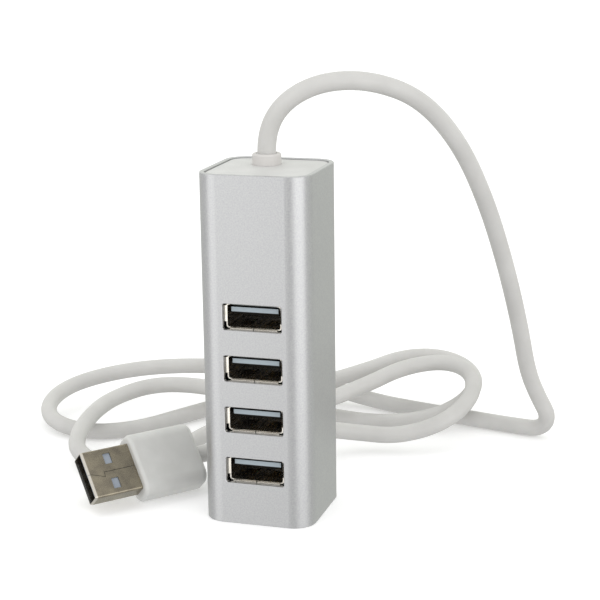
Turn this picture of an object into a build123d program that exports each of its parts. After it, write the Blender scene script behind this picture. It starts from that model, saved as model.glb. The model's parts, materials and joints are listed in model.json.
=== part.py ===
from build123d import *
import math
import os

# Upright four-port USB hub with a captive cable and a type-A plug, in millimetres.
# The origin is the middle of the base, on the surface that the hub stands on.
# +Z is up and the sockets face -Y. The whole cable is shown, so its far end is part of this.

os.makedirs("parts", exist_ok=True)

# ---- Housing tube: a rounded-square aluminium extrusion
hub_width = 26.2
hub_depth = 26.6
hub_height = 81.5
wall = 1.1
corner_radius = 5.1
rim_chamfer = 0.15

# ---- Sockets: the windows cut for them, and how they are stacked
port_count = 4
port_pitch = 12.1
lowest_port_height = 12.9
window_side_gap = 0.02  # between a window's side and the side lips' tips
window_margin = 0.48  # from the mouth's broad sides to a window's edge
window_corner = 0.5
window_chamfer = 0.12

# ---- Receptacle: an upright type-A socket
mouth_width = 12.5
mouth_height = 5.12
shell_sheet = 0.3
shell_corner = 0.45
shell_recess = 0.15  # from the tube's inner face to the lips
shell_standoff = 0.3  # from the shell's rear edge to the board
shell_seam = 0.18
lip_length = 0.35
side_lip_flare = 0.38
broad_lip_flare = 0.24
lip_corner_gap = 0.65  # a broad lip stops this far short of the mouth's side
side_lip_bottom = -1.3  # from the mouth's middle
side_lip_top = 2.4
receptacle_depth = 14.0  # from the lips to the board
tongue_width = 11.1
tongue_headroom = 0.67  # between the tongue and the mouth's top wall
tongue_recess = 2.4  # from the tube's front face to the tongue's tip
tongue_lift = 0.05  # underside of the tongue above the mouth's middle
tongue_bevel = 0.8
insulator_base_depth = 3.0
insulator_clearance = 0.05
leaf_width = 2.4  # sprung leaves pressed out of the shell's broad sides
leaf_length = 5.0
leaf_tip = 1.4
leaf_slit = 0.25
leaf_spacing = 6.2
leaf_distance = 3.0
leaf_press = 0.3
contact_width = 1.0
contact_sheet = 0.25
contact_clearance = 0.05
contact_positions = (-3.5, -1.0, 1.0, 3.5)
contact_sag = 0.5  # how far the contact's bow drops out of the tongue
contact_tip_recess = 1.3
contact_bow_distance = 3.2
pin_protrusion = 1.0  # how far pins and leads stand out of the board's far side
shell_tab_width = 1.6
tab_protrusion = 0.9

# ---- Board
board_thickness = 1.6
board_bottom = 4.4
board_side_gap = 0.7
board_corner = 0.4
top_space = 15.5  # from the board's top edge to the hub's top, for the cable's end
pin_hole_gap = 0.13
tab_slot_clearance = 0.2

# ---- End caps
cap_gap = 0.12  # all round, between a cap and the tube
top_cap_inset = 0.3  # how far the top cap lies below the tube's rim
cap_plate = 2.0
cap_skirt_depth = 4.6
cap_skirt_wall = 1.2
cap_edge_fillet = 0.3
arm_width = 2.8
arm_wall = 1.4
arm_grip = 3.8  # how much of the board's edge an arm holds
slot_clearance = 0.12

# ---- Cable and strain relief
cable_radius = 2.15
exit_x = -1.6
exit_y = 4.5
collar_wall = 1.2
collar_height = 2.3
collar_fillet = 0.45
collar_mouth_flare = 0.4
collar_mouth_angle = 90
collar_clearance = 0.05
flange_lip = 1.45
flange_thickness = 1.5
neck_wall = 0.95
neck_length = 2.6
jacket_tail = 3.1  # how far the jacket's cut end hangs below the neck
wire_radius = 0.45
wire_spread = 0.68
wire_straight = 1.1
wire_bend_radius = 0.9
wire_gap = 0.02  # from a wire's end to the board
pad_pitch = 2.6
pad_drop = 4.6  # from the board's top edge to the wires' ends
solder_radius = 0.95

# ---- Electronics on the board's back
chip_length = 9.9
chip_body_width = 3.9
chip_height = 1.5
chip_standoff = 0.15
chip_chamfer = 0.2
chip_mark_radius = 0.4
chip_mark_depth = 0.1
chip_mark_inset = 1.1
lead_rows = 14
lead_pitch = 0.635
lead_width = 0.25
lead_sheet = 0.15
lead_foot = 0.55
lead_shoulder = 0.25
lead_span = 6.0
crystal_length = 11.3
crystal_width = 4.6
crystal_height = 3.9
crystal_flange = 0.35
crystal_fillet = 0.6
crystal_lead_spacing = 4.88
capacitor_radius = 2.5
capacitor_length = 11.0
capacitor_lift = 0.05
capacitor_fillet = 0.4
capacitor_groove = 0.3
capacitor_groove_width = 0.6
capacitor_groove_distance = 1.6
capacitor_lead_spacing = 2.0
capacitor_lead_reach = 1.5
lead_radius = 0.25
lead_hole_gap = 0.1
lead_bend_radius = 0.8
chip_part_length = 1.6
chip_part_width = 0.8
chip_part_height = 0.55
chip_part_x = 8.9
film_thickness = 0.25
film_gap = 0.05
film_end_gap = 2.0

# ---- Plug, lying rolled on the long edge of its overmould
plug_shell_width = 12.0
plug_shell_thickness = 4.5
plug_shell_length = 18.75
plug_exposed_length = 12.5
plug_sheet = 0.3
plug_shell_corner = 0.5
plug_lead_depth = 0.18  # the mouth's edges are pressed in this far
plug_lead_length = 0.6  # over this length
plug_hole_length = 1.9
plug_hole_width = 2.7
plug_hole_distance = 6.3
plug_hole_spacing = 6.4
plug_seam = 0.12
plug_key_start = 0.9  # the seam's one interlocking key: where it leaves the middle,
plug_key_end = 4.3  # where it comes back,
plug_key_depth = 1.2  # and how far it reaches to one side
plug_insulator_thickness = 1.85
plug_insulator_recess = 0.8
plug_base_length = 5.6
plug_clearance = 0.05
plug_contact_sheet = 0.2
plug_contact_recess = 0.9
overmould_width = 16.2
overmould_thickness = 8.2
overmould_corner = 3.0
overmould_front_fillet = 1.0
overmould_rear_fillet = 1.8
overmould_length = 17.2
inner_mould_width = 11.6
inner_mould_thickness = 5.6
inner_mould_length = 5.0
plug_tip_x = -42.0
plug_tip_y = -14.4
plug_heading = 50.1  # degrees from +X to the plug's axis, tip to cable
plug_roll = 41.3  # degrees of the broad face's normal above the surface

# ---- The cable's route from the collar to the plug: its corners, chosen by hand, stand
# between a first run straight out of the collar and a last run straight into the plug
cable_first_run = 5.2
cable_last_run = 17.8
cable_route = [
    # over in an arc and down to the right
    (3.0, 4.4, 96.0),
    (11.5, 5.5, 100.3),
    (22.0, 9.0, 100.4),
    (32.0, 16.0, 95.6),
    (39.0, 26.0, 84.0),
    (43.5, 36.0, 68.5),
    (46.8, 45.5, 51.0),
    (49.3, 53.0, 34.0),
    (50.6, 59.0, 20.0),
    # folded where it meets the surface, and back behind the hub to the left
    (53.1, 61.9, 12.4),
    (55.8, 63.8, 6.5),
    (53.2, 66.0, 2.3),
    (46.8, 67.2, 2.2),
    (38.0, 69.3, 2.2),
    (24.0, 73.0, 2.2),
    (5.0, 78.5, 2.2),
    (-14.0, 83.0, 5.0),
    # the outer left loop
    (-33.0, 80.0, 9.0),
    (-51.0, 73.5, 10.3),
    (-67.0, 68.5, 9.0),
    (-79.0, 59.0, 6.8),
    (-81.0, 46.5, 4.7),
    (-74.5, 36.0, 3.0),
    (-62.0, 32.5, 2.2),
    (-50.5, 39.0, 2.2),
    (-42.5, 54.0, 2.2),
    (-31.0, 68.0, 3.2),
    (-14.0, 74.0, 6.3),
    # the first right loop
    (1.5, 79.0, 10.8),
    (11.0, 89.0, 13.2),
    (22.5, 91.0, 13.2),
    (32.0, 84.0, 11.3),
    (34.0, 72.5, 8.4),
    (26.5, 62.5, 4.5),
    (12.0, 60.0, 2.2),
    (-6.0, 63.0, 2.2),
    # the inner left loop, which passes behind the plug
    (-24.0, 58.0, 7.8),
    (-41.0, 56.5, 10.2),
    (-53.0, 54.5, 9.8),
    (-60.0, 44.0, 8.6),
    (-60.5, 31.0, 8.0),
    (-59.5, 20.0, 6.3),
    (-56.0, 11.0, 4.5),
    (-46.0, 7.0, 2.6),
    (-37.0, 12.0, 2.2),
    (-34.0, 24.0, 2.2),
    (-30.5, 39.0, 3.2),
    (-20.0, 51.0, 5.2),
    # the second right loop
    (-5.0, 55.0, 8.0),
    (6.0, 63.5, 11.5),
    (14.0, 74.0, 14.3),
    (25.0, 79.0, 15.5),
    (34.0, 72.0, 14.6),
    (36.0, 60.0, 11.2),
    (30.5, 49.0, 7.2),
    (19.5, 44.5, 4.3),
    (9.0, 43.5, 4.8),
    # and close behind the hub to the plug
    (-1.0, 35.5, 7.8),
]
arc_share = 0.45  # of the shorter run, taken by the arc at a point of the route

# ---- Places worked out from the sizes above
front_face_y = -hub_depth / 2
inner_front_y = front_face_y + wall
inner_back_y = hub_depth / 2 - wall
bore_width = hub_width - 2 * wall
bore_depth = hub_depth - 2 * wall
bore_radius = corner_radius - wall
window_width = mouth_width + 2 * (shell_sheet + side_lip_flare + window_side_gap)
window_height = mouth_height + 2 * window_margin
port_heights = [lowest_port_height + port_pitch * n for n in reversed(range(port_count))]

shell_front_y = inner_front_y + shell_recess
tube_front_y = shell_front_y + lip_length
board_front_y = shell_front_y + receptacle_depth
board_back_y = board_front_y + board_thickness
board_middle_y = board_front_y + board_thickness / 2
shell_end_y = board_front_y - shell_standoff
tongue_tip_y = front_face_y + tongue_recess
tongue_thickness = mouth_height / 2 - tongue_lift - tongue_headroom
tab_x = mouth_width / 2 + shell_sheet / 2
contact_height = tongue_lift + contact_clearance + contact_sheet / 2
pin_hole_radius = math.hypot(contact_width, contact_sheet) / 2 + pin_hole_gap

board_width = bore_width - 2 * board_side_gap
board_top = hub_height - top_space
cap_top = hub_height - top_cap_inset
cap_width = bore_width - 2 * cap_gap
cap_depth = bore_depth - 2 * cap_gap
cap_radius = bore_radius - cap_gap
top_plate_bottom = cap_top - cap_plate
arm_x = cap_width / 2 - arm_width / 2
arm_depth = board_thickness + 2 * (slot_clearance + arm_wall)
slot_width = board_width + 2 * slot_clearance
slot_depth = board_thickness + 2 * slot_clearance

collar_radius = cable_radius + collar_wall
collar_top = hub_height + collar_height
neck_top = top_plate_bottom - flange_thickness
jacket_end = neck_top - neck_length - jacket_tail
wire_end_y = board_back_y + wire_radius + wire_gap
pad_z = board_top - pad_drop

crystal_z = lowest_port_height + port_pitch * 0.5
chip_z = lowest_port_height + port_pitch * 1.5
capacitor_z = lowest_port_height + port_pitch * 2.5
passives_z = (port_heights[0] + pad_z) / 2
crystal_lead_x = crystal_lead_spacing / 2
capacitor_y = board_back_y + capacitor_radius + capacitor_lift
capacitor_end_x = capacitor_length / 2
capacitor_lead_x = capacitor_end_x + capacitor_lead_reach
capacitor_lead_heights = [capacitor_z + side * capacitor_lead_spacing / 2 for side in (-1, 1)]
lead_hole_radius = lead_radius + lead_hole_gap
film_bottom = cap_plate + cap_skirt_depth + film_end_gap
film_top = top_plate_bottom - cap_skirt_depth - film_end_gap
film_back_y = inner_back_y - film_gap

plug_inner_width = plug_shell_width - 2 * plug_sheet
plug_inner_thickness = plug_shell_thickness - 2 * plug_sheet
plug_inner_corner = plug_shell_corner - plug_sheet
plug_insulator_top = plug_inner_thickness / 2 - plug_clearance
plug_insulator_under = plug_insulator_top - plug_insulator_thickness
plug_base_front = plug_shell_length - plug_base_length
overmould_front = plug_exposed_length
overmould_end = overmould_front + overmould_length
inner_mould_end = plug_shell_length + inner_mould_length

heading = math.radians(plug_heading)
roll = math.radians(plug_roll)
plug_height = (
    (overmould_width / 2 - overmould_corner) * math.cos(roll)
    + (overmould_thickness / 2 - overmould_corner) * math.sin(roll)
    + overmould_corner
)
# In the plug's own frame X runs from the tip to the cable, Y across the broad face and Z out
# of the broad face that is turned up.
plug_plane = Plane(
    origin=(plug_tip_x, plug_tip_y, plug_height),
    x_dir=(math.cos(heading), math.sin(heading), 0),
    z_dir=(
        math.sin(heading) * math.cos(roll),
        -math.cos(heading) * math.cos(roll),
        math.sin(roll),
    ),
)
plug_axis = Axis(plug_plane.origin, plug_plane.x_dir)


def write(piece, name):
    """Labels a finished piece and writes its STEP file."""
    piece.label = name
    export_step(piece, f"parts/{name}.step")


def plug_section(distance):
    """The plane across the plug's axis at a distance from its tip."""
    return Plane(
        origin=plug_plane.origin + plug_plane.x_dir * distance,
        x_dir=plug_plane.y_dir,
        z_dir=plug_plane.x_dir,
    )


# ======== Housing tube ========
with BuildPart() as housing_tube:
    with BuildSketch():
        RectangleRounded(hub_width, hub_depth, corner_radius)
        RectangleRounded(bore_width, bore_depth, bore_radius, mode=Mode.SUBTRACT)
    extrude(amount=hub_height)
    chamfer(housing_tube.faces().filter_by(Axis.Z).edges(), rim_chamfer)
    with BuildSketch(Plane.XZ.offset(-front_face_y)):
        with Locations(*[(0, height) for height in port_heights]):
            RectangleRounded(window_width, window_height, window_corner)
    extrude(amount=-wall, mode=Mode.SUBTRACT)
    front_face = housing_tube.faces().sort_by(Axis.Y)[0]
    chamfer(front_face.inner_wires().edges(), window_chamfer)
write(housing_tube.part, "housing_tube")


# ======== End caps ========
# Each is a plate in the tube's bore, with a skirt inside the walls and two arms that hold the
# board's end in a slot.
with BuildPart() as top_cap:
    with BuildSketch(Plane.XY.offset(top_plate_bottom)):
        RectangleRounded(cap_width, cap_depth, cap_radius)
    extrude(amount=cap_plate)
    fillet(top_cap.faces().sort_by(Axis.Z)[-1].edges(), cap_edge_fillet)
    with BuildSketch(Plane.XY.offset(top_plate_bottom)):
        RectangleRounded(cap_width, cap_depth, cap_radius)
        offset(amount=-cap_skirt_wall, mode=Mode.SUBTRACT)
    extrude(amount=-cap_skirt_depth)
    with BuildSketch(Plane.XY.offset(top_plate_bottom)):
        with Locations((-arm_x, board_middle_y), (arm_x, board_middle_y)):
            Rectangle(arm_width, arm_depth)
    extrude(amount=board_top - arm_grip - top_plate_bottom)
    with BuildSketch(Plane.XY.offset(board_top + slot_clearance)):
        with Locations((0, board_middle_y)):
            Rectangle(slot_width, slot_depth)
    extrude(amount=-arm_grip - 2 * slot_clearance, mode=Mode.SUBTRACT)
    with BuildSketch(Plane.XY.offset(cap_top)):
        with Locations((exit_x, exit_y)):
            Circle(collar_radius + collar_clearance)
    extrude(amount=-cap_plate, mode=Mode.SUBTRACT)
write(top_cap.part, "top_cap")

with BuildPart() as bottom_cap:
    with BuildSketch():
        RectangleRounded(cap_width, cap_depth, cap_radius)
    extrude(amount=cap_plate)
    fillet(bottom_cap.faces().sort_by(Axis.Z)[0].edges(), cap_edge_fillet)
    with BuildSketch(Plane.XY.offset(cap_plate)):
        RectangleRounded(cap_width, cap_depth, cap_radius)
        offset(amount=-cap_skirt_wall, mode=Mode.SUBTRACT)
    extrude(amount=cap_skirt_depth)
    with BuildSketch(Plane.XY.offset(cap_plate)):
        with Locations((-arm_x, board_middle_y), (arm_x, board_middle_y)):
            Rectangle(arm_width, arm_depth)
    extrude(amount=board_bottom + arm_grip - cap_plate)
    with BuildSketch(Plane.XY.offset(board_bottom - slot_clearance)):
        with Locations((0, board_middle_y)):
            Rectangle(slot_width, slot_depth)
    extrude(amount=arm_grip + 2 * slot_clearance, mode=Mode.SUBTRACT)
write(bottom_cap.part, "bottom_cap")


# ======== Strain relief ========
# The collar stands out of the top cap, a flange under the plate keeps it in, and a short neck
# grips the jacket below.
with BuildPart() as strain_relief:
    with BuildSketch(Plane.XY.offset(collar_top)):
        with Locations((exit_x, exit_y)):
            Circle(collar_radius)
    extrude(amount=top_plate_bottom - collar_top)
    fillet(strain_relief.faces().sort_by(Axis.Z)[-1].edges(), collar_fillet)
    with BuildSketch(Plane.XY.offset(top_plate_bottom)):
        with Locations((exit_x, exit_y)):
            Circle(collar_radius + flange_lip)
    extrude(amount=-flange_thickness)
    with BuildSketch(Plane.XY.offset(neck_top)):
        with Locations((exit_x, exit_y)):
            Circle(cable_radius + neck_wall)
    extrude(amount=-neck_length)
    with Locations((exit_x, exit_y, collar_top)):
        CounterSinkHole(
            cable_radius,
            cable_radius + collar_mouth_flare,
            counter_sink_angle=collar_mouth_angle,
        )
write(strain_relief.part, "strain_relief")


# ======== Receptacles ========
def port_shell(height):
    """The folded steel shell of one socket, with its lips, sprung leaves and board tabs."""
    half_width = mouth_width / 2
    half_height = mouth_height / 2
    leaf_root_y = tube_front_y + leaf_distance
    leaf_bend_y = leaf_root_y + leaf_length - leaf_tip
    leaf_end_y = leaf_root_y + leaf_length
    leaf_middle_y = leaf_root_y + leaf_length / 2
    leaf_places = (-leaf_spacing / 2, leaf_spacing / 2)
    with BuildPart() as shell:
        with BuildSketch(Plane.XZ.offset(-tube_front_y)):
            with Locations((0, height)):
                RectangleRounded(
                    mouth_width + 2 * shell_sheet,
                    mouth_height + 2 * shell_sheet,
                    shell_corner + shell_sheet,
                )
                RectangleRounded(mouth_width, mouth_height, shell_corner, mode=Mode.SUBTRACT)
        extrude(amount=tube_front_y - shell_end_y)
        for side in (-1, 1):
            inner = height + side * half_height
            outer = inner + side * shell_sheet
            # A broad lip, flared a little
            with BuildSketch(Plane.YZ):
                with BuildLine():
                    Polyline(
                        (tube_front_y, inner),
                        (shell_front_y, inner + side * broad_lip_flare),
                        (shell_front_y, outer + side * broad_lip_flare),
                        (tube_front_y, outer),
                        close=True,
                    )
                make_face()
            extrude(amount=half_width - lip_corner_gap, both=True)
            # A side lip, flared inside the window
            with BuildSketch(Plane.XY.offset(height + side_lip_bottom)):
                with BuildLine():
                    Polyline(
                        (side * half_width, tube_front_y),
                        (side * (half_width + side_lip_flare), shell_front_y),
                        (side * (half_width + side_lip_flare + shell_sheet), shell_front_y),
                        (side * (half_width + shell_sheet), tube_front_y),
                        close=True,
                    )
                make_face()
            extrude(amount=side_lip_top - side_lip_bottom)
            # Two leaves that grip the plug, cut free on three sides and bent into the mouth
            with BuildSketch(Plane.XY.offset(inner)):
                with Locations(*[(x, leaf_middle_y) for x in leaf_places]):
                    Rectangle(leaf_width + 2 * leaf_slit, leaf_length + 2 * leaf_slit)
            extrude(amount=outer - inner, mode=Mode.SUBTRACT)
            for x in leaf_places:
                with BuildSketch(Plane.YZ.offset(x)):
                    with BuildLine():
                        Polyline(
                            (leaf_root_y - leaf_slit, outer),
                            (leaf_bend_y, outer - side * leaf_press),
                            (leaf_end_y, outer - side * leaf_press / 2),
                            (leaf_end_y, inner - side * leaf_press / 2),
                            (leaf_bend_y, inner - side * leaf_press),
                            (leaf_root_y - leaf_slit, inner),
                            close=True,
                        )
                    make_face()
                extrude(amount=leaf_width / 2, both=True)
        # The seam where the folded sheet's edges meet, along the lower broad side
        with BuildSketch(Plane.XY.offset(height - half_height)):
            with Locations((0, (shell_front_y + shell_end_y) / 2)):
                Rectangle(shell_seam, shell_end_y - shell_front_y)
        extrude(amount=-shell_sheet - broad_lip_flare, mode=Mode.SUBTRACT)
        # Tabs through the board, one at each narrow side
        with BuildSketch(Plane.XZ.offset(-shell_end_y)):
            with Locations((-tab_x, height), (tab_x, height)):
                Rectangle(shell_sheet, shell_tab_width)
        extrude(amount=shell_end_y - board_back_y - tab_protrusion)
    return shell.part


def port_contacts(height, room=0.0):
    """The four contacts of one socket or, with some room all round, what they lie in."""
    half_sheet = contact_sheet / 2 + room
    bow_y = tongue_tip_y + contact_bow_distance
    side_view = [
        (tongue_tip_y + contact_tip_recess - room, height + contact_height),
        (bow_y, height + contact_height - contact_sag),
        (bow_y + contact_bow_distance, height + contact_height),
        (board_back_y + pin_protrusion + room, height + contact_height),
    ]
    upper_edge = [(y, z + half_sheet) for y, z in side_view]
    lower_edge = [(y, z - half_sheet) for y, z in reversed(side_view)]
    with BuildPart() as contacts:
        for x in contact_positions:
            with BuildSketch(Plane.YZ.offset(x)):
                with BuildLine():
                    Polyline(*upper_edge, *lower_edge, close=True)
                make_face()
            extrude(amount=contact_width / 2 + room, both=True)
    return contacts.part


def port_insulator(height):
    """The moulded insert of one socket: a base at the board and the tongue that it carries."""
    base_front_y = board_front_y - insulator_base_depth
    grooves = port_contacts(height, contact_clearance)
    with BuildPart() as insulator:
        with BuildSketch(Plane.XZ.offset(-board_front_y)):
            with Locations((0, height)):
                RectangleRounded(
                    mouth_width - 2 * insulator_clearance,
                    mouth_height - 2 * insulator_clearance,
                    shell_corner,
                )
        extrude(amount=insulator_base_depth)
        with BuildSketch(Plane.XZ.offset(-base_front_y)):
            with Locations((0, height + tongue_lift + tongue_thickness / 2)):
                Rectangle(tongue_width, tongue_thickness)
        extrude(amount=base_front_y - tongue_tip_y)
        tip_edges = insulator.faces().sort_by(Axis.Y)[0].edges()
        chamfer(tip_edges.sort_by(Axis.Z)[0], tongue_bevel)
        add(grooves, mode=Mode.SUBTRACT)
    return insulator.part


for number, height in enumerate(port_heights, start=1):
    write(port_shell(height), f"port_{number}_shell")
    write(port_insulator(height), f"port_{number}_insulator")
    write(port_contacts(height), f"port_{number}_contacts")


# ======== Board ========
with BuildPart() as main_board:
    with BuildSketch(Plane.XZ.offset(-board_front_y)):
        with Locations((0, (board_bottom + board_top) / 2)):
            RectangleRounded(board_width, board_top - board_bottom, board_corner)
        for height in port_heights:
            with Locations(*[(x, height + contact_height) for x in contact_positions]):
                Circle(pin_hole_radius, mode=Mode.SUBTRACT)
            with Locations((-tab_x, height), (tab_x, height)):
                Rectangle(
                    shell_sheet + 2 * tab_slot_clearance,
                    shell_tab_width + 2 * tab_slot_clearance,
                    mode=Mode.SUBTRACT,
                )
        with Locations((-crystal_lead_x, crystal_z), (crystal_lead_x, crystal_z)):
            Circle(lead_hole_radius, mode=Mode.SUBTRACT)
        with Locations(*[(capacitor_lead_x, z) for z in capacitor_lead_heights]):
            Circle(lead_hole_radius, mode=Mode.SUBTRACT)
    extrude(amount=-board_thickness)
write(main_board.part, "main_board")


# ======== Electronics on the board's back ========
chip_back_y = board_back_y + chip_standoff + chip_height

with BuildPart() as hub_controller_chip:
    with BuildSketch(Plane.XZ.offset(-board_back_y - chip_standoff)):
        with Locations((0, chip_z)):
            Rectangle(chip_length, chip_body_width)
    extrude(amount=-chip_height)
    chamfer(hub_controller_chip.faces().sort_by(Axis.Y)[-1].edges(), chip_chamfer)
    with BuildSketch(Plane.XZ.offset(-chip_back_y)):
        with Locations(
            (chip_length / 2 - chip_mark_inset, chip_z + chip_body_width / 2 - chip_mark_inset)
        ):
            Circle(chip_mark_radius)
    extrude(amount=chip_mark_depth, mode=Mode.SUBTRACT)
write(hub_controller_chip.part, "hub_controller_chip")

# Gull-wing leads: a foot on the board, a shin and a shoulder that meets the body's side
shoulder_y = board_back_y + chip_standoff + chip_height / 2

with BuildPart() as chip_leads:
    for side in (-1, 1):
        body_z = chip_z + side * chip_body_width / 2
        shoulder_z = body_z + side * lead_shoulder
        toe_z = chip_z + side * lead_span / 2
        heel_z = toe_z - side * lead_foot
        for n in range(lead_rows):
            with BuildSketch(Plane.YZ.offset((n - (lead_rows - 1) / 2) * lead_pitch)):
                with BuildLine():
                    Polyline(
                        (board_back_y, toe_z),
                        (board_back_y + lead_sheet, toe_z),
                        (board_back_y + lead_sheet, heel_z),
                        (shoulder_y + lead_sheet, shoulder_z),
                        (shoulder_y + lead_sheet, body_z),
                        (shoulder_y, body_z),
                        (shoulder_y, shoulder_z - side * lead_sheet),
                        (board_back_y, heel_z - side * lead_sheet),
                        close=True,
                    )
                make_face()
            extrude(amount=lead_width / 2, both=True)
write(chip_leads.part, "chip_leads")

with BuildPart() as crystal:
    with BuildSketch(Plane.XZ.offset(-board_back_y)):
        with Locations((0, crystal_z)):
            SlotOverall(crystal_length, crystal_width)
    extrude(amount=-crystal_flange)
    with BuildSketch(Plane.XZ.offset(-board_back_y - crystal_flange)):
        with Locations((0, crystal_z)):
            SlotOverall(crystal_length - 2 * crystal_flange, crystal_width - 2 * crystal_flange)
    extrude(amount=crystal_flange - crystal_height)
    fillet(crystal.faces().sort_by(Axis.Y)[-1].edges(), crystal_fillet)
write(crystal.part, "crystal")

# The capacitor lies along X, with its leads at the +X end
with BuildPart() as bulk_capacitor:
    with BuildSketch(Plane.YZ.offset(capacitor_end_x - capacitor_length)):
        with Locations((capacitor_y, capacitor_z)):
            Circle(capacitor_radius)
    extrude(amount=capacitor_length)
    fillet(bulk_capacitor.edges().filter_by(GeomType.CIRCLE), capacitor_fillet)
    with BuildSketch(Plane.YZ.offset(capacitor_end_x - capacitor_groove_distance)):
        with Locations((capacitor_y, capacitor_z)):
            Circle(capacitor_radius)
            Circle(capacitor_radius - capacitor_groove, mode=Mode.SUBTRACT)
    extrude(amount=-capacitor_groove_width, mode=Mode.SUBTRACT)
write(bulk_capacitor.part, "bulk_capacitor")

with BuildPart() as component_leads:
    for z in capacitor_lead_heights:
        with BuildLine() as bent_lead:
            FilletPolyline(
                (capacitor_end_x, capacitor_y, z),
                (capacitor_lead_x, capacitor_y, z),
                (capacitor_lead_x, board_front_y - pin_protrusion, z),
                radius=lead_bend_radius,
            )
        with BuildSketch(Plane.YZ.offset(capacitor_end_x)):
            with Locations((capacitor_y, z)):
                Circle(lead_radius)
        sweep(path=bent_lead.wires()[0])
    with BuildSketch(Plane.XZ.offset(-board_back_y)):
        with Locations((-crystal_lead_x, crystal_z), (crystal_lead_x, crystal_z)):
            Circle(lead_radius)
    extrude(amount=board_thickness + pin_protrusion)
write(component_leads.part, "component_leads")


def chip_parts(places):
    """Small surface-mounted blocks on the board's back, at the given X and height."""
    with BuildPart() as blocks:
        with BuildSketch(Plane.XZ.offset(-board_back_y)):
            with Locations(*places):
                Rectangle(chip_part_width, chip_part_length)
        extrude(amount=-chip_part_height)
    return blocks.part


chip_capacitor_places = [(side * chip_part_x, z) for z in (crystal_z, chip_z) for side in (-1, 1)]
chip_capacitor_places += [(-chip_part_x, capacitor_z), (chip_part_x, passives_z)]
chip_resistor_places = [(exit_x + pad * pad_pitch, passives_z) for pad in (-1.5, -0.5, 0.5, 1.5)]
write(chip_parts(chip_capacitor_places), "chip_capacitors")
write(chip_parts(chip_resistor_places), "chip_resistors")

with BuildPart() as insulating_film:
    with BuildSketch(Plane.XZ.offset(-film_back_y)):
        with Locations((0, (film_bottom + film_top) / 2)):
            Rectangle(bore_width - 2 * bore_radius, film_top - film_bottom)
    extrude(amount=film_thickness)
write(insulating_film.part, "insulating_film")


# ======== Cable's inner end and its four wires ========
with BuildPart() as cable_inner_end:
    with BuildSketch(Plane.XY.offset(jacket_end)):
        with Locations((exit_x, exit_y)):
            Circle(cable_radius)
    extrude(amount=collar_top - jacket_end)
write(cable_inner_end.part, "cable_inner_end")

# Each wire's name, its side of the jacket across and back, and its pad from the middle
wires = (
    ("red_wire", -1, 1, -1.5),
    ("white_wire", -1, -1, -0.5),
    ("green_wire", 1, -1, 0.5),
    ("black_wire", 1, 1, 1.5),
)
for name, across, back, pad in wires:
    start_x = exit_x + across * wire_spread
    start_y = exit_y + back * wire_spread
    pad_x = exit_x + pad * pad_pitch
    with BuildPart() as wire:
        with BuildLine() as wire_path:
            FilletPolyline(
                (start_x, start_y, jacket_end),
                (start_x, start_y, jacket_end - wire_straight),
                (pad_x, wire_end_y, board_top + wire_straight),
                (pad_x, wire_end_y, pad_z),
                radius=wire_bend_radius,
            )
        with BuildSketch(Plane.XY.offset(jacket_end)):
            with Locations((start_x, start_y)):
                Circle(wire_radius)
        sweep(path=wire_path.wires()[0])
    write(wire.part, name)

# A dome of solder on the board at each wire's end
pad_places = [exit_x + pad * pad_pitch for name, across, back, pad in wires]

with BuildPart() as solder_joints:
    with Locations(*[(x, board_back_y, pad_z) for x in pad_places]):
        Sphere(solder_radius)
    split(bisect_by=Plane.XZ.offset(-board_back_y), keep=Keep.BOTTOM)
    with BuildSketch(Plane.XY.offset(pad_z)):
        with Locations(*[(x, wire_end_y) for x in pad_places]):
            Circle(wire_radius)
    extrude(amount=2 * solder_radius, mode=Mode.SUBTRACT)
write(solder_joints.part, "solder_joints")


# ======== Plug ========
with BuildPart() as plug_shell:
    with BuildSketch(plug_section(0)):
        RectangleRounded(plug_shell_width, plug_shell_thickness, plug_shell_corner)
    extrude(amount=plug_shell_length)
    mouth_face = plug_shell.faces().sort_by(plug_axis)[0]
    chamfer(mouth_face.edges(), plug_lead_depth, plug_lead_length, reference=mouth_face)
    with BuildSketch(plug_section(0)):
        RectangleRounded(plug_inner_width, plug_inner_thickness, plug_inner_corner)
    extrude(amount=plug_shell_length, mode=Mode.SUBTRACT)
    with BuildSketch(plug_plane):
        with Locations(*[(plug_hole_distance, side * plug_hole_spacing / 2) for side in (-1, 1)]):
            Rectangle(plug_hole_length, plug_hole_width)
    extrude(amount=plug_shell_thickness, both=True, mode=Mode.SUBTRACT)
    with BuildSketch(plug_plane):
        with BuildLine():
            Polyline(
                (0, 0),
                (plug_key_start, 0),
                (plug_key_end - plug_seam, -plug_key_depth),
                (plug_key_end, 0),
                (plug_shell_length, 0),
            )
        trace(line_width=plug_seam)
    extrude(amount=plug_shell_thickness, mode=Mode.SUBTRACT)
write(plug_shell.part, "plug_shell")


def plug_contact_bars(room=0.0):
    """The plug's four contacts or, with some room all round, the grooves for them."""
    start = plug_contact_recess + plug_insulator_recess - room
    end = (plug_shell_length + inner_mould_end) / 2 + room
    with BuildPart() as bars:
        with BuildSketch(plug_plane.offset(plug_insulator_under - room)):
            with Locations(*[((start + end) / 2, y) for y in contact_positions]):
                Rectangle(end - start, contact_width + 2 * room)
        extrude(amount=plug_contact_sheet + 2 * room)
    return bars.part


write(plug_contact_bars(), "plug_contacts")
contact_grooves = plug_contact_bars(plug_clearance)

with BuildPart() as plug_insulator:
    with BuildSketch(plug_plane.offset(plug_insulator_under)):
        with Locations(((plug_insulator_recess + plug_shell_length) / 2, 0)):
            Rectangle(
                plug_shell_length - plug_insulator_recess, plug_inner_width - 2 * plug_clearance
            )
    extrude(amount=plug_insulator_thickness)
    with BuildSketch(plug_section(plug_base_front)):
        Rectangle(
            plug_inner_width - 2 * plug_clearance, plug_inner_thickness - 2 * plug_clearance
        )
    extrude(amount=plug_base_length)
    add(contact_grooves, mode=Mode.SUBTRACT)
write(plug_insulator.part, "plug_insulator")

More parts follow.
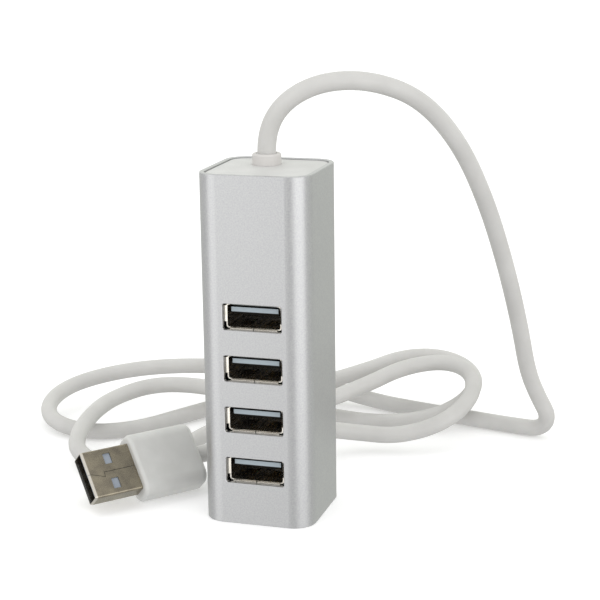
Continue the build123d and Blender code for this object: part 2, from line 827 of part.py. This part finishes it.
with BuildPart() as plug_inner_mould:
    with BuildSketch(plug_section(plug_shell_length)):
        Rectangle(inner_mould_width, inner_mould_thickness)
    extrude(amount=inner_mould_length)
    add(contact_grooves, mode=Mode.SUBTRACT)
write(plug_inner_mould.part, "plug_inner_mould")

with BuildPart() as plug_overmould:
    with BuildSketch(plug_section(overmould_front)):
        RectangleRounded(overmould_width, overmould_thickness, overmould_corner)
    extrude(amount=overmould_length)
    ends = plug_overmould.faces().filter_by(plug_axis).sort_by(plug_axis)
    fillet(ends[0].edges(), overmould_front_fillet)
    fillet(ends[-1].edges(), overmould_rear_fillet)
    with BuildSketch(plug_section(overmould_front)):
        RectangleRounded(plug_shell_width, plug_shell_thickness, plug_shell_corner)
    extrude(amount=plug_shell_length - overmould_front, mode=Mode.SUBTRACT)
    with BuildSketch(plug_section(plug_shell_length)):
        Rectangle(inner_mould_width, inner_mould_thickness)
    extrude(amount=inner_mould_length, mode=Mode.SUBTRACT)
write(plug_overmould.part, "plug_overmould")


# ======== Cable ========
route = [
    Vector(exit_x, exit_y, collar_top),
    Vector(exit_x, exit_y, collar_top + cable_first_run),
    *[Vector(point) for point in cable_route],
    plug_section(overmould_end + cable_last_run).origin,
    plug_section(overmould_end).origin,
]
runs = [after - before for before, after in zip(route, route[1:])]
arc_radii = []
for run, next_run in zip(runs, runs[1:]):
    half_turn = math.radians(run.get_angle(next_run)) / 2
    arc_radii.append(arc_share * min(run.length, next_run.length) / math.tan(half_turn))
print("cable arc radii", [round(radius, 1) for radius in arc_radii])

with BuildPart() as cable:
    with BuildLine() as cable_path:
        FilletPolyline(*route, radius=arc_radii)
    with BuildSketch(Plane(origin=route[0], z_dir=runs[0])):
        Circle(cable_radius)
    sweep(path=cable_path.wires()[0])
write(cable.part, "cable")

path_length = cable_path.wires()[0].length
swept_volume = math.pi * cable_radius**2 * path_length
print(f"cable length {path_length:.1f}, volume {cable.part.volume:.0f} of {swept_volume:.0f}")
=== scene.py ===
import json
import math

import bpy
from mathutils import Matrix, Vector


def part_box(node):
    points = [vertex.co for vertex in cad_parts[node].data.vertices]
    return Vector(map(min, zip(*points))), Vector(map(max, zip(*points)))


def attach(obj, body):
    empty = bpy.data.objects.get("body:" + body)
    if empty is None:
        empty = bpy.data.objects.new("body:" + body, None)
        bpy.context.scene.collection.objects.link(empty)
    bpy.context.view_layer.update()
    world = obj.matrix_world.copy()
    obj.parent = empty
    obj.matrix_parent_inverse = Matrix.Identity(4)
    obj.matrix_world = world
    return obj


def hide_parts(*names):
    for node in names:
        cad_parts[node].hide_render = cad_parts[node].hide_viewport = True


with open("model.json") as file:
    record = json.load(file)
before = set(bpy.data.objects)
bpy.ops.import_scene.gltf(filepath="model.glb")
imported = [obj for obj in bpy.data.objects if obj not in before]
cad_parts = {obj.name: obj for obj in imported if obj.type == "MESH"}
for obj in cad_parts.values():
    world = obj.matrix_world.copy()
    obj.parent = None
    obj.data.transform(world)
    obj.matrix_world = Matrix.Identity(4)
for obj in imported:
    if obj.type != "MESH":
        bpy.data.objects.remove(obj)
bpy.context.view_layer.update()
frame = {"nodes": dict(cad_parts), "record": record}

mm = 0.001
nodes = frame["nodes"]
scene = bpy.context.scene
print("frame loaded:", len(nodes), "nodes")


def toLinear(hexColour):
    # sRGB hex, such as C8C8C6, to the linear colour that a shader wants
    channels = [int(hexColour[i:i + 2], 16) / 255 for i in (0, 2, 4)]
    return [c / 12.92 if c <= 0.04045 else ((c + 0.055) / 1.055) ** 2.4 for c in channels] + [1.0]


def addNode(tree, kind, settings=None, links=None):
    # settings name an input by its name or number, or else a property of the node
    node = tree.nodes.new(kind)
    for key, value in (settings or {}).items():
        if isinstance(key, int) or key in node.inputs:
            node.inputs[key].default_value = value
        else:
            setattr(node, key, value)
    for key, source in (links or {}).items():
        tree.links.new(source, node.inputs[key])
    return node


# What the patterns of every material share: how much fine noise, how sharply the two shades part,
# what part of the grain's noise sets the roughness, and how strongly it is embossed
pattern = {"detail": 3.0, "darkUpTo": 0.35, "lightFrom": 0.65, "smoothUpTo": 0.3, "roughFrom": 0.7,
           "emboss": 0.5}


def makeMaterial(recipe):
    # two close shades wander over the surface in patches, and a finer grain varies gloss and height
    material = bpy.data.materials.new(recipe["name"])
    material.use_nodes = True
    tree = material.node_tree
    shader = tree.nodes["Principled BSDF"]
    shader.inputs["Metallic"].default_value = recipe.get("metallic", 0.0)
    for key, value in recipe.get("more", {}).items():
        shader.inputs[key].default_value = value
    place = addNode(tree, "ShaderNodeTexCoord")
    patches = addNode(tree, "ShaderNodeTexNoise",
                      {"Scale": 1 / recipe["patch"], "Detail": pattern["detail"]},
                      {"Vector": place.outputs["Object"]})
    shades = addNode(tree, "ShaderNodeValToRGB", None, {"Fac": patches.outputs["Fac"]})
    shades.color_ramp.elements[0].position = pattern["darkUpTo"]
    shades.color_ramp.elements[0].color = toLinear(recipe["dark"])
    shades.color_ramp.elements[1].position = pattern["lightFrom"]
    shades.color_ramp.elements[1].color = toLinear(recipe["light"])
    tree.links.new(shades.outputs["Color"], shader.inputs["Base Color"])
    stretched = addNode(tree, "ShaderNodeMapping", {"Scale": recipe.get("stretch", (1, 1, 1))},
                        {"Vector": place.outputs["Object"]})
    grain = addNode(tree, "ShaderNodeTexNoise",
                    {"Scale": 1 / recipe["grain"], "Detail": pattern["detail"]},
                    {"Vector": stretched.outputs[0]})
    smooth, rough = recipe["roughness"]
    gloss = addNode(tree, "ShaderNodeMapRange",
                    {"From Min": pattern["smoothUpTo"], "From Max": pattern["roughFrom"],
                     "To Min": smooth, "To Max": rough},
                    {"Value": grain.outputs["Fac"]})
    tree.links.new(gloss.outputs["Result"], shader.inputs["Roughness"])
    relief = addNode(tree, "ShaderNodeBump",
                     {"Distance": recipe["depth"], "Strength": pattern["emboss"]},
                     {"Height": grain.outputs["Fac"]})
    tree.links.new(relief.outputs["Normal"], shader.inputs["Normal"])
    return material


# Aluminium, bead blasted and clear anodised: a soft sparkle of grain over a broad dull sheen.
# The real grain is about 0.1 mm; it is drawn three times as coarse so that it shows.
aluminium = makeMaterial({
    "name": "blasted anodised aluminium", "dark": "B8B8BA", "light": "C5C6C5", "metallic": 1.0,
    "patch": 0.34 * mm, "grain": 0.34 * mm, "depth": 0.014 * mm, "roughness": (0.36, 0.43)})

# ABS, injection moulded in a spark-eroded mould: matt, even, with the faintest orange peel
whiteAbs = makeMaterial({
    "name": "moulded white ABS", "dark": "CCCCCA", "light": "D2D2D0", "patch": 5 * mm,
    "grain": 0.25 * mm, "depth": 0.006 * mm, "roughness": (0.48, 0.54), "more": {"IOR": 1.53}})

# PVC, extruded over the wires: satin, warm white and slightly wavy
jacketPvc = makeMaterial({
    "name": "extruded PVC jacket", "dark": "C4C3C0", "light": "CBCAC7", "patch": 9 * mm,
    "grain": 0.9 * mm, "depth": 0.01 * mm, "roughness": (0.4, 0.46),
    "more": {"IOR": 1.52, "Subsurface Weight": 0.08, "Subsurface Scale": 0.6 * mm,
             "Subsurface Radius": (1.0, 0.9, 0.8)}})

# PVC, moulded round the cable as its collar: a shade greyer and harder than the jacket
collarPvc = makeMaterial({
    "name": "moulded collar PVC", "dark": "CBC8C5", "light": "D0CDCA", "patch": 5 * mm,
    "grain": 0.25 * mm, "depth": 0.006 * mm, "roughness": (0.43, 0.48), "more": {"IOR": 1.53}})

# Soft PVC, moulded over the plug: a little translucent, smoother than the jacket
plugPvc = makeMaterial({
    "name": "overmoulded soft PVC", "dark": "C6C6C3", "light": "CDCDCA", "patch": 6 * mm,
    "grain": 0.4 * mm, "depth": 0.006 * mm, "roughness": (0.34, 0.4),
    "more": {"IOR": 1.52, "Subsurface Weight": 0.15, "Subsurface Scale": 0.8 * mm,
             "Subsurface Radius": (1.0, 0.95, 0.85)}})

# Steel strip, nickel plated and folded: warm grey, with fine rolling lines that run round the plug
# and into the sockets. The sockets' copy is painted lighter, near white, as the light on their lips.
plugNickel = makeMaterial({
    "name": "nickel-plated plug steel", "dark": "857E70", "light": "99917F", "metallic": 1.0,
    "patch": 2.5 * mm, "grain": 0.18 * mm, "stretch": (1, 1, 0.1), "depth": 0.004 * mm,
    "roughness": (0.24, 0.34)})
# painted light: the sockets' copy of the plating, much lighter than the plug's
litSocketNickel = makeMaterial({
    "name": "nickel-plated socket steel, painted lit", "dark": "D6D0C5", "light": "E6E1D8", "metallic": 1.0,
    "patch": 2.5 * mm, "grain": 0.18 * mm, "stretch": (1, 0.1, 1), "depth": 0.004 * mm,
    "roughness": (0.2, 0.3)})

# ABS of the plug's insert, moulded: matt pale blue-grey behind the shell's two holes
insertAbs = makeMaterial({
    "name": "moulded insert ABS", "dark": "8C949E", "light": "969EA9", "patch": 5 * mm,
    "grain": 0.25 * mm, "depth": 0.006 * mm, "roughness": (0.38, 0.44), "more": {"IOR": 1.53}})

# Glass-filled nylon, moulded: the dark of the sockets' inserts, with a faint fibre grain
socketNylon = makeMaterial({
    "name": "black filled nylon", "dark": "12100D", "light": "1C1915", "patch": 0.6 * mm,
    "grain": 0.3 * mm, "stretch": (1, 0.3, 1), "depth": 0.006 * mm, "roughness": (0.36, 0.44),
    "more": {"IOR": 1.53}})


def paintLightOnEnd(material, end):
    # painted light: another colour in front of a plane, which fades into the material's own behind
    # it
    tree = material.node_tree
    shader = tree.nodes["Principled BSDF"]
    own = shader.inputs["Base Color"].links[0].from_socket
    place = addNode(tree, "ShaderNodeTexCoord")
    depth = addNode(tree, "ShaderNodeVectorMath", {"operation": "DOT_PRODUCT", 1: end["inwards"]},
                    {0: place.outputs["Object"]})
    share = addNode(tree, "ShaderNodeMapRange",
                    {"From Min": end["plane"], "From Max": end["plane"] + end["fade"]},
                    {"Value": depth.outputs["Value"]})
    mixed = addNode(tree, "ShaderNodeMix", {"data_type": "RGBA", 6: toLinear(end["colour"])},
                    {0: share.outputs["Result"], 7: own})
    tree.links.new(mixed.outputs[2], shader.inputs["Base Color"])


# Painted light: the flat tip of each tongue is painted pale blue-grey, as the light on its front
# face, and is all that shows of it in the dark; behind the tip the colour fades into the dark nylon.
tongueTipPaintedLight = {"colour": "A7B3BA", "inwards": (0, 1, 0), "plane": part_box("port_1_insulator")[0][1],
             "fade": 0.1 * mm}
paintLightOnEnd(socketNylon, tongueTipPaintedLight)

# Painted highlight: the pressed-in edges of the plug's mouth are painted bright, as the highlight
# along them
plugTip = next(m for m in frame["record"]["mounts"] if m["name"] == "plug_tip")
plugEnd, outwards = Vector(plugTip["pos_m"]), Vector(plugTip["axis"])
highlightDepth = 0.5 * mm
plugMouthHighlight = {"colour": "CCC7BD", "inwards": -outwards, "plane": highlightDepth - outwards.dot(plugEnd),
             "fade": 0.2 * mm}
paintLightOnEnd(plugNickel, plugMouthHighlight)

# Phosphor bronze with a flash of gold: small, bright and slightly streaked
gold = makeMaterial({
    "name": "gold-flashed bronze", "dark": "CFA651", "light": "E2C070", "metallic": 1.0,
    "patch": 0.5 * mm, "grain": 0.5 * mm, "depth": 0.003 * mm, "roughness": (0.2, 0.28)})

# Tin, dipped, drawn or reflowed: leads, a can and solder, with soft pooled highlights
tinned = makeMaterial({
    "name": "tinned copper", "dark": "BDBDB8", "light": "D2D2CE", "metallic": 1.0,
    "patch": 0.8 * mm, "grain": 0.8 * mm, "depth": 0.004 * mm, "roughness": (0.24, 0.38)})

# Glass-epoxy laminate under green solder mask: the weave shows as a faint 0.4 mm unevenness
laminate = makeMaterial({
    "name": "solder-masked laminate", "dark": "1C5635", "light": "22633E", "patch": 3 * mm,
    "grain": 0.4 * mm, "depth": 0.006 * mm, "roughness": (0.28, 0.34),
    "more": {"IOR": 1.5, "Coat Weight": 0.3}})

# Epoxy moulding compound: the charcoal of a chip, slightly pitted
chipEpoxy = makeMaterial({
    "name": "moulded chip epoxy", "dark": "1E1E21", "light": "2A2A2D", "patch": 0.4 * mm,
    "grain": 0.12 * mm, "depth": 0.006 * mm, "roughness": (0.52, 0.6), "more": {"IOR": 1.55}})

# Fired ceramic: chip capacitors, chalky and mottled, and chip resistors under black glaze
tanCeramic = makeMaterial({
    "name": "tan fired ceramic", "dark": "96754F", "light": "A9875F", "patch": 0.2 * mm,
    "grain": 0.2 * mm, "depth": 0.004 * mm, "roughness": (0.48, 0.55), "more": {"IOR": 1.7}})
blackCeramic = makeMaterial({
    "name": "glazed black ceramic", "dark": "151517", "light": "202023", "patch": 0.2 * mm,
    "grain": 0.3 * mm, "depth": 0.002 * mm, "roughness": (0.28, 0.33), "more": {"IOR": 1.7}})

# Polyimide film: amber, thin and glossy
amberFilm = makeMaterial({
    "name": "amber polyimide film", "dark": "B17019", "light": "C18226", "patch": 4 * mm,
    "grain": 2 * mm, "depth": 0.01 * mm, "roughness": (0.18, 0.24),
    "more": {"IOR": 1.7, "Alpha": 0.85}})


def dyedPvc(colour, dark, light):
    # PVC, dyed and drawn over a wire or shrunk over a can: plain colour, a little glossy
    return makeMaterial({
        "name": colour + " dyed PVC", "dark": dark, "light": light, "patch": 1.5 * mm,
        "grain": 0.4 * mm, "depth": 0.003 * mm, "roughness": (0.32, 0.38), "more": {"IOR": 1.52}})


dress = {
    "housing_tube": aluminium,
    "top_cap": whiteAbs,
    "bottom_cap": whiteAbs,
    "strain_relief": collarPvc,
    "cable_inner_end": jacketPvc,
    "plug_overmould": plugPvc,
    "plug_shell": plugNickel,
    "plug_insulator": insertAbs,
    "plug_contacts": gold,
    "plug_inner_mould": insertAbs,
    "main_board": laminate,
    "hub_controller_chip": chipEpoxy,
    "chip_leads": tinned,
    "crystal": tinned,
    "bulk_capacitor": dyedPvc("navy", "15203F", "1C2A52"),
    "component_leads": tinned,
    "chip_capacitors": tanCeramic,
    "chip_resistors": blackCeramic,
    "insulating_film": amberFilm,
    "red_wire": dyedPvc("red", "A01818", "B42020"),
    "white_wire": dyedPvc("white", "DADAD6", "E4E4E0"),
    "green_wire": dyedPvc("green", "17703A", "1F8446"),
    "black_wire": dyedPvc("black", "151515", "202020"),
    "solder_joints": tinned,
}
for n in range(1, 5):
    dress[f"port_{n}_shell"] = litSocketNickel
    dress[f"port_{n}_insulator"] = socketNylon
    dress[f"port_{n}_contacts"] = gold


def wear(piece, material):
    piece.data.materials.clear()
    piece.data.materials.append(material)


for name, material in dress.items():
    wear(nodes[name], material)
print("materials on", len(dress), "nodes")


# Camera: it looks down a little, from the front right. Its angles are in degrees, and its lens and
# sensor in the millimetres that Blender wants them in.
view = {"azimuth": 17.152, "elevation": 13.976, "roll": -0.755, "distance": 393.34 * mm,
        "aim": (3.19 * mm, 13.29 * mm, 47.28 * mm), "lens": 99.13, "sensor": 36,
        "nearest": 10 * mm}


def placeCamera():
    camera = bpy.data.objects.new("camera", bpy.data.cameras.new("camera"))
    scene.collection.objects.link(camera)
    camera.data.lens = view["lens"]
    camera.data.sensor_width = view["sensor"]
    camera.data.clip_start = view["nearest"]
    turn = (Matrix.Rotation(math.radians(view["azimuth"]), 4, "Z")
            @ Matrix.Rotation(math.radians(90 - view["elevation"]), 4, "X")
            @ Matrix.Rotation(math.radians(view["roll"]), 4, "Z"))
    back = turn.to_3x3() @ Vector((0, 0, 1))
    camera.matrix_world = Matrix.Translation(Vector(view["aim"]) + back * view["distance"]) @ turn
    scene.camera = camera


placeCamera()
print("camera placed")


# Cable: it leaves the collar upwards and reaches the plug along the plug's axis. Its free corners
# lie between, in metres, and the cable rounds each of them off.
cable = {"radius": 2.15 * mm, "length": 0.825, "plugLength": 29.7 * mm, "lastRun": 17.8 * mm,
         "order": 3, "stepsPerCorner": 10, "roundness": 7}
plugRear = plugEnd - outwards * cable["plugLength"]
lastCorner = plugRear - outwards * cable["lastRun"]
route = [
    (-0.0016, 0.0045, 0.0838), (-0.0016, 0.0045, 0.0890), (0.0030, 0.0044, 0.0960),
    (0.0115, 0.0055, 0.1003), (0.0220, 0.0090, 0.1004), (0.0320, 0.0160, 0.0956),
    (0.0390, 0.0260, 0.0840), (0.0435, 0.0360, 0.0685), (0.0468, 0.0455, 0.0510),
    (0.0493, 0.0530, 0.0340), (0.0506, 0.0590, 0.0200), (0.0531, 0.0619, 0.0124),
    (0.0558, 0.0638, 0.0065), (0.0532, 0.0660, 0.0023), (0.0468, 0.0672, 0.0022),
    (0.0380, 0.0693, 0.0022), (0.0240, 0.0730, 0.0022), (0.0050, 0.0785, 0.0022),
    (-0.0140, 0.0830, 0.0050), (-0.0330, 0.0800, 0.0090), (-0.0510, 0.0735, 0.0103),
    (-0.0670, 0.0685, 0.0090), (-0.0790, 0.0590, 0.0068), (-0.0810, 0.0465, 0.0047),
    (-0.0745, 0.0360, 0.0030), (-0.0620, 0.0325, 0.0022), (-0.0505, 0.0390, 0.0022),
    (-0.0425, 0.0540, 0.0022), (-0.0310, 0.0680, 0.0032), (-0.0140, 0.0740, 0.0063),
    (0.0015, 0.0790, 0.0108), (0.0110, 0.0890, 0.0132), (0.0225, 0.0910, 0.0132),
    (0.0320, 0.0840, 0.0113), (0.0340, 0.0725, 0.0084), (0.0265, 0.0625, 0.0045),
    (0.0120, 0.0600, 0.0022), (-0.0060, 0.0630, 0.0022), (-0.0240, 0.0580, 0.0078),
    (-0.0410, 0.0565, 0.0102), (-0.0530, 0.0545, 0.0098), (-0.0600, 0.0440, 0.0086),
    (-0.0605, 0.0310, 0.0080), (-0.0595, 0.0200, 0.0063), (-0.0560, 0.0110, 0.0045),
    (-0.0460, 0.0070, 0.0026), (-0.0370, 0.0120, 0.0022), (-0.0340, 0.0240, 0.0022),
    (-0.0305, 0.0390, 0.0032), (-0.0200, 0.0510, 0.0052), (-0.0050, 0.0550, 0.0080),
    (0.0060, 0.0635, 0.0115), (0.0140, 0.0740, 0.0143), (0.0250, 0.0790, 0.0155),
    (0.0340, 0.0720, 0.0146), (0.0360, 0.0600, 0.0112), (0.0305, 0.0490, 0.0072),
    (0.0195, 0.0445, 0.0043), (0.0090, 0.0435, 0.0048), (-0.0010, 0.0355, 0.0078),
    tuple(lastCorner), tuple(plugRear),
]


def makeCable():
    curve = bpy.data.curves.new("cableJacket", "CURVE")
    curve.dimensions = "3D"
    curve.bevel_depth = cable["radius"]
    curve.bevel_resolution = cable["roundness"]
    curve.resolution_u = cable["stepsPerCorner"]
    curve.use_fill_caps = True
    spline = curve.splines.new("NURBS")
    spline.points.add(len(route) - 1)
    for point, place in zip(spline.points, route):
        point.co = (*place, 1)
    spline.order_u = cable["order"]
    spline.use_endpoint_u = True
    piece = bpy.data.objects.new("cableJacket", curve)
    scene.collection.objects.link(piece)
    wear(piece, jacketPvc)
    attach(piece, "root")
    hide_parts("cable")


makeCable()
print("cable laid")


# Studio: white paper under the object, an even glow from above and less from below, and two
# softboxes for the metal to reflect. The glow's edge is where it changes, as a share of straight up.
studio = {"front": "FFFFFF", "back": "FCFFF8", "above": 1.1, "below": 0.74, "edge": 0.22,
          "floor": 12.0, "paperGlow": 0.12}
softboxes = {
    "front softbox": {"place": (-0.68, -0.87, 0.0), "width": 1.0, "height": 1.0, "power": 2.6},
    "right softbox": {"place": (0.84, -0.54, 0.1), "width": 1.15, "height": 1.0, "power": 3.7},
}
lampTarget = Vector((0, 0, 50 * mm))


def areaLight(name, box):
    light = bpy.data.lights.new(name, "AREA")
    light.shape = "RECTANGLE"
    light.size = box["width"]
    light.size_y = box["height"]
    light.energy = box["power"]
    lamp = bpy.data.objects.new(name, light)
    scene.collection.objects.link(lamp)
    lamp.location = box["place"]
    lamp.rotation_euler = (lampTarget - Vector(box["place"])).to_track_quat("-Z", "Y").to_euler()


def makeStudio():
    mesh = bpy.data.meshes.new("floor")
    half = studio["floor"] / 2
    mesh.from_pydata([(-half, -half, 0), (half, -half, 0), (half, half, 0), (-half, half, 0)], [],
                     [(0, 1, 2, 3)])
    floor = bpy.data.objects.new("floor", mesh)
    scene.collection.objects.link(floor)
    # the paper is seen and takes shadows, but what it would throw back comes from the world,
    # so that the undersides stay darker
    floor.visible_diffuse = False
    floor.visible_glossy = False
    wear(floor, makeMaterial({
        "name": "white seamless paper", "dark": "FEFEFE", "light": "FFFFFF", "patch": 200 * mm,
        "grain": 0.5 * mm, "depth": 0.0, "roughness": (0.95, 1.0),
        "more": {"Specular IOR Level": 0.0, "Emission Color": (1, 1, 1, 1),
                 "Emission Strength": studio["paperGlow"]}}))
    world = bpy.data.worlds.new("studio")
    scene.world = world
    world.use_nodes = True
    tree = world.node_tree
    direction = addNode(tree, "ShaderNodeTexCoord")
    parts = addNode(tree, "ShaderNodeSeparateXYZ", None, {0: direction.outputs["Generated"]})
    glow = addNode(tree, "ShaderNodeMapRange",
                   {"interpolation_type": "SMOOTHSTEP", "From Min": -studio["edge"],
                    "From Max": studio["edge"] / 2, "To Min": studio["below"],
                    "To Max": studio["above"]}, {"Value": parts.outputs["Z"]})
    tree.links.new(glow.outputs["Result"], tree.nodes["Background"].inputs["Strength"])
    cast = addNode(tree, "ShaderNodeMix",
                   {"data_type": "RGBA", 6: toLinear(studio["front"]), 7: toLinear(studio["back"])},
                   {0: parts.outputs["Y"]})
    tree.links.new(cast.outputs[2], tree.nodes["Background"].inputs["Color"])
    for name, box in softboxes.items():
        areaLight(name, box)
    scene.view_settings.view_transform = "Standard"


makeStudio()
print("studio ready")
